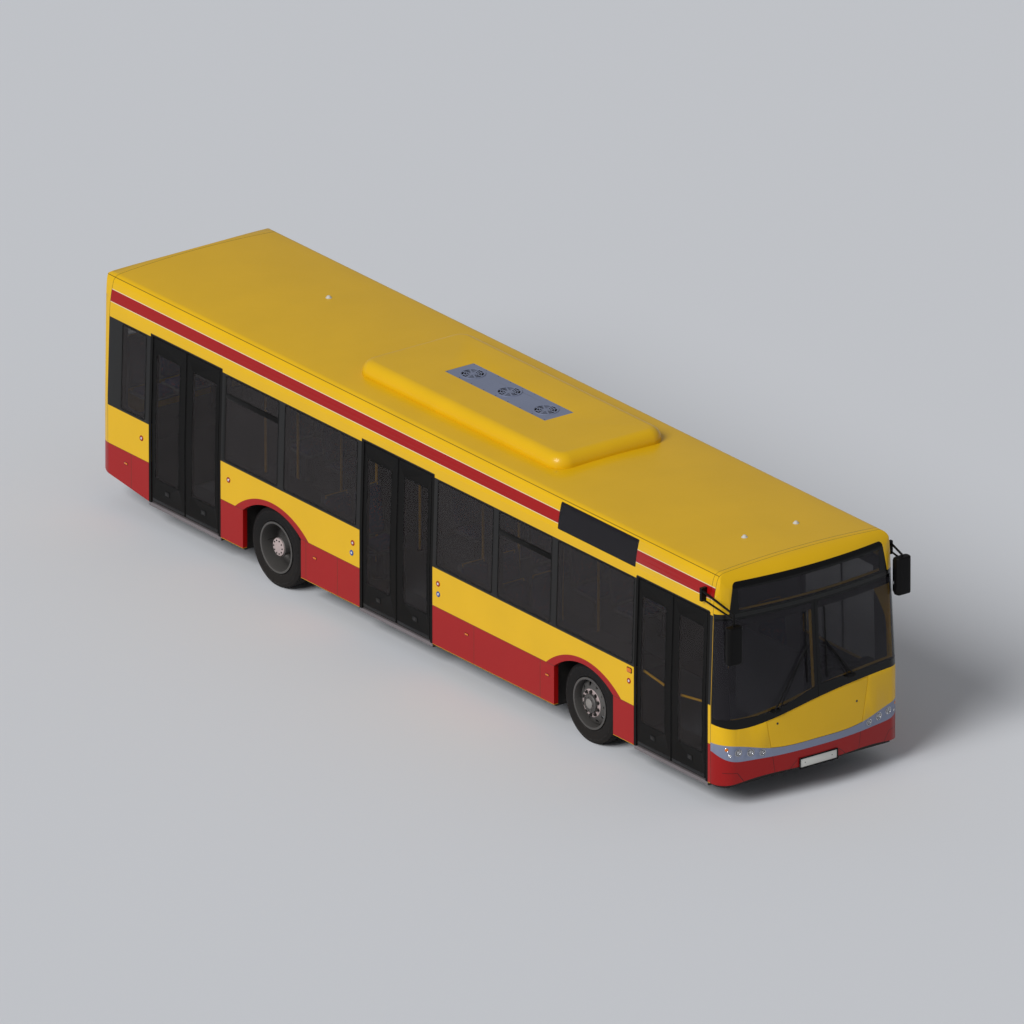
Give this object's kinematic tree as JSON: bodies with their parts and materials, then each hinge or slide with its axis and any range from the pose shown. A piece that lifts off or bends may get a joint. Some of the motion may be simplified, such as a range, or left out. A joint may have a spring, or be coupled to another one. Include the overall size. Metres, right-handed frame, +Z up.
{
  "type": "low-floor city bus",
  "caption": "Low-floor city bus with inward-swinging double doors, steered front wheels, twin rear wheels, a front service flap and a rear engine hatch.",
  "frame": {"origin": "on the road under the middle of the whole bus, mirrors included", "axes": "front towards -Y, doors on the right side at -X, +Z up"},
  "size_m": [2.8, 12.19, 2.9964],
  "materials": {
    "body_paint": "gloss two-colour body paint",
    "bumper_paint": "gloss red bumper paint",
    "grey_trim": "satin grey",
    "tinted_glass": "tinted",
    "lamp_lens": "clear ribbed",
    "red_lens": "moulded lens",
    "black_plastic": "grained",
    "seat_fabric": "woven plush",
    "rail_paint": "powder coat",
    "cab_panel": "moulded panel",
    "door_frame": "satin black",
    "door_metal": "satin black",
    "underframe": "satin chassis paint",
    "axle_paint": "chassis black",
    "cast_metal": "cast",
    "bellows_rubber": "moulded",
    "tyre": "moulded",
    "wheel_steel": "silver wheel paint"
  },
  "bodies": {
    "body": {"chassis_floor": "underframe", "wheel_boxes": "underframe", "rear_frame": "underframe", "right_wall": "body_paint", "door_frames": "door_frame", "left_wall": "body_paint", "roof_shell": "body_paint", "front_mask": "body_paint", "lamp_strip": "grey_trim", "front_bumper": "bumper_paint", "headlamps": "lamp_lens", "front_glass": "tinted_glass", "side_windows": "tinted_glass", "rear_wall": "body_paint", "rear_window": "tinted_glass", "rear_lamps": "red_lens", "roof_pod": "body_paint", "pod_grille": "grey_trim", "mirrors": "black_plastic", "wipers": "black_plastic", "seats": "seat_fabric", "handrails": "rail_paint", "driver_cab": "cab_panel", "dashboard": "black_plastic", "steering_wheel": "black_plastic", "engine_block": "cast_metal", "front_axle": "axle_paint", "rear_axle": "axle_paint", "air_springs": "bellows_rubber"},
    "flap": {"front_flap": "body_paint"},
    "hatch": {"engine_hatch": "body_paint"},
    "front_rear_post": {"front_door_rear_post": "door_metal"},
    "front_rear_leaf": {"front_door_rear_leaf": "door_frame", "front_door_rear_glass": "tinted_glass"},
    "front_front_post": {"front_door_front_post": "door_metal"},
    "front_front_leaf": {"front_door_front_leaf": "door_frame", "front_door_front_glass": "tinted_glass"},
    "middle_rear_post": {"middle_door_rear_post": "door_metal"},
    "middle_rear_leaf": {"middle_door_rear_leaf": "door_frame", "middle_door_rear_glass": "tinted_glass"},
    "middle_front_post": {"middle_door_front_post": "door_metal"},
    "middle_front_leaf": {"middle_door_front_leaf": "door_frame", "middle_door_front_glass": "tinted_glass"},
    "rear_rear_post": {"rear_door_rear_post": "door_metal"},
    "rear_rear_leaf": {"rear_door_rear_leaf": "door_frame", "rear_door_rear_glass": "tinted_glass"},
    "rear_front_post": {"rear_door_front_post": "door_metal"},
    "rear_front_leaf": {"rear_door_front_leaf": "door_frame", "rear_door_front_glass": "tinted_glass"},
    "left_steer": {"left_knuckle": "axle_paint"},
    "right_steer": {"right_knuckle": "axle_paint"},
    "steer_rod": {"track_rod": "axle_paint"},
    "front_left_wheel": {"front_left_tyre": "tyre", "front_left_rim": "wheel_steel"},
    "rear_left_wheels": {"rear_left_tyres": "tyre", "rear_left_rims": "wheel_steel"},
    "front_right_wheel": {"front_right_tyre": "tyre", "front_right_rim": "wheel_steel"},
    "rear_right_wheels": {"rear_right_tyres": "tyre", "rear_right_rims": "wheel_steel"}
  },
  "joints": [
    {"name": "flap_hinge", "type": "hinge", "parent": "body", "child": "flap", "pos_m": [0, -5.895, 1.216], "axis": [-1, 0, 0], "range_deg": [0, 80]},
    {"name": "hatch_hinge", "type": "hinge", "parent": "body", "child": "hatch", "pos_m": [0, 6.087, 1.427], "axis": [1, 0, 0], "range_deg": [0, 80]},
    {"name": "front_door_rear_arm", "type": "hinge", "parent": "body", "child": "front_rear_post", "pos_m": [-1.215, -4.1665, 1.3], "axis": [0, 0, 1], "range_deg": [0, 82]},
    {"name": "front_door_rear_leaf", "type": "hinge", "parent": "front_rear_post", "child": "front_rear_leaf", "pos_m": [-1.215, -4.48925, 1.3], "axis": [0, 0, 1], "range_deg": [-164, 0]},
    {"name": "front_door_front_arm", "type": "hinge", "parent": "body", "child": "front_front_post", "pos_m": [-1.215, -5.5035, 1.3], "axis": [0, 0, 1], "range_deg": [-82, 0]},
    {"name": "front_door_front_leaf", "type": "hinge", "parent": "front_front_post", "child": "front_front_leaf", "pos_m": [-1.215, -5.18075, 1.3], "axis": [0, 0, 1], "range_deg": [0, 164]},
    {"name": "middle_door_rear_arm", "type": "hinge", "parent": "body", "child": "middle_rear_post", "pos_m": [-1.215, 1.0005, 1.3], "axis": [0, 0, 1], "range_deg": [0, 82]},
    {"name": "middle_door_rear_leaf", "type": "hinge", "parent": "middle_rear_post", "child": "middle_rear_leaf", "pos_m": [-1.215, 0.67775, 1.3], "axis": [0, 0, 1], "range_deg": [-164, 0]},
    {"name": "middle_door_front_arm", "type": "hinge", "parent": "body", "child": "middle_front_post", "pos_m": [-1.215, -0.3365, 1.3], "axis": [0, 0, 1], "range_deg": [-82, 0]},
    {"name": "middle_door_front_leaf", "type": "hinge", "parent": "middle_front_post", "child": "middle_front_leaf", "pos_m": [-1.215, -0.01375, 1.3], "axis": [0, 0, 1], "range_deg": [0, 164]},
    {"name": "rear_door_rear_arm", "type": "hinge", "parent": "body", "child": "rear_rear_post", "pos_m": [-1.215, 5.0335, 1.3], "axis": [0, 0, 1], "range_deg": [0, 82]},
    {"name": "rear_door_rear_leaf", "type": "hinge", "parent": "rear_rear_post", "child": "rear_rear_leaf", "pos_m": [-1.215, 4.71075, 1.3], "axis": [0, 0, 1], "range_deg": [-164, 0]},
    {"name": "rear_door_front_arm", "type": "hinge", "parent": "body", "child": "rear_front_post", "pos_m": [-1.215, 3.6965, 1.3], "axis": [0, 0, 1], "range_deg": [-82, 0]},
    {"name": "rear_door_front_leaf", "type": "hinge", "parent": "rear_front_post", "child": "rear_front_leaf", "pos_m": [-1.215, 4.01925, 1.3], "axis": [0, 0, 1], "range_deg": [0, 164]},
    {"name": "left_steer", "type": "hinge", "parent": "body", "child": "left_steer", "pos_m": [0.89, -3.205, 0.475], "axis": [0, 0, 1], "range_deg": [-45, 45]},
    {"name": "right_steer", "type": "hinge", "parent": "body", "child": "right_steer", "pos_m": [-0.89, -3.205, 0.475], "axis": [0, 0, 1], "range_deg": [-45, 45]},
    {"name": "steer_rod", "type": "hinge", "parent": "left_steer", "child": "steer_rod", "pos_m": [0.89, -2.955, 0.19], "axis": [0, 0, 1], "range_deg": [-45, 45]},
    {"name": "front_left_wheel", "type": "hinge", "parent": "left_steer", "child": "front_left_wheel", "pos_m": [1.0625, -3.205, 0.475], "axis": [1, 0, 0], "continuous": true},
    {"name": "rear_left_wheels", "type": "hinge", "parent": "body", "child": "rear_left_wheels", "pos_m": [0.9225, 2.695, 0.475], "axis": [1, 0, 0], "continuous": true},
    {"name": "front_right_wheel", "type": "hinge", "parent": "right_steer", "child": "front_right_wheel", "pos_m": [-1.0625, -3.205, 0.475], "axis": [1, 0, 0], "continuous": true},
    {"name": "rear_right_wheels", "type": "hinge", "parent": "body", "child": "rear_right_wheels", "pos_m": [-0.9225, 2.695, 0.475], "axis": [1, 0, 0], "continuous": true}
  ],
  "couplings": [
    {"joint": "front_door_rear_leaf", "follows": "front_door_rear_arm", "ratio": -2},
    {"joint": "front_door_front_arm", "follows": "front_door_rear_arm", "ratio": -1},
    {"joint": "front_door_front_leaf", "follows": "front_door_rear_arm", "ratio": 2},
    {"joint": "middle_door_rear_leaf", "follows": "middle_door_rear_arm", "ratio": -2},
    {"joint": "middle_door_front_arm", "follows": "middle_door_rear_arm", "ratio": -1},
    {"joint": "middle_door_front_leaf", "follows": "middle_door_rear_arm", "ratio": 2},
    {"joint": "rear_door_rear_leaf", "follows": "rear_door_rear_arm", "ratio": -2},
    {"joint": "rear_door_front_arm", "follows": "rear_door_rear_arm", "ratio": -1},
    {"joint": "rear_door_front_leaf", "follows": "rear_door_rear_arm", "ratio": 2},
    {"joint": "right_steer", "follows": "left_steer", "ratio": 1},
    {"joint": "steer_rod", "follows": "left_steer", "ratio": -1}
  ]
}
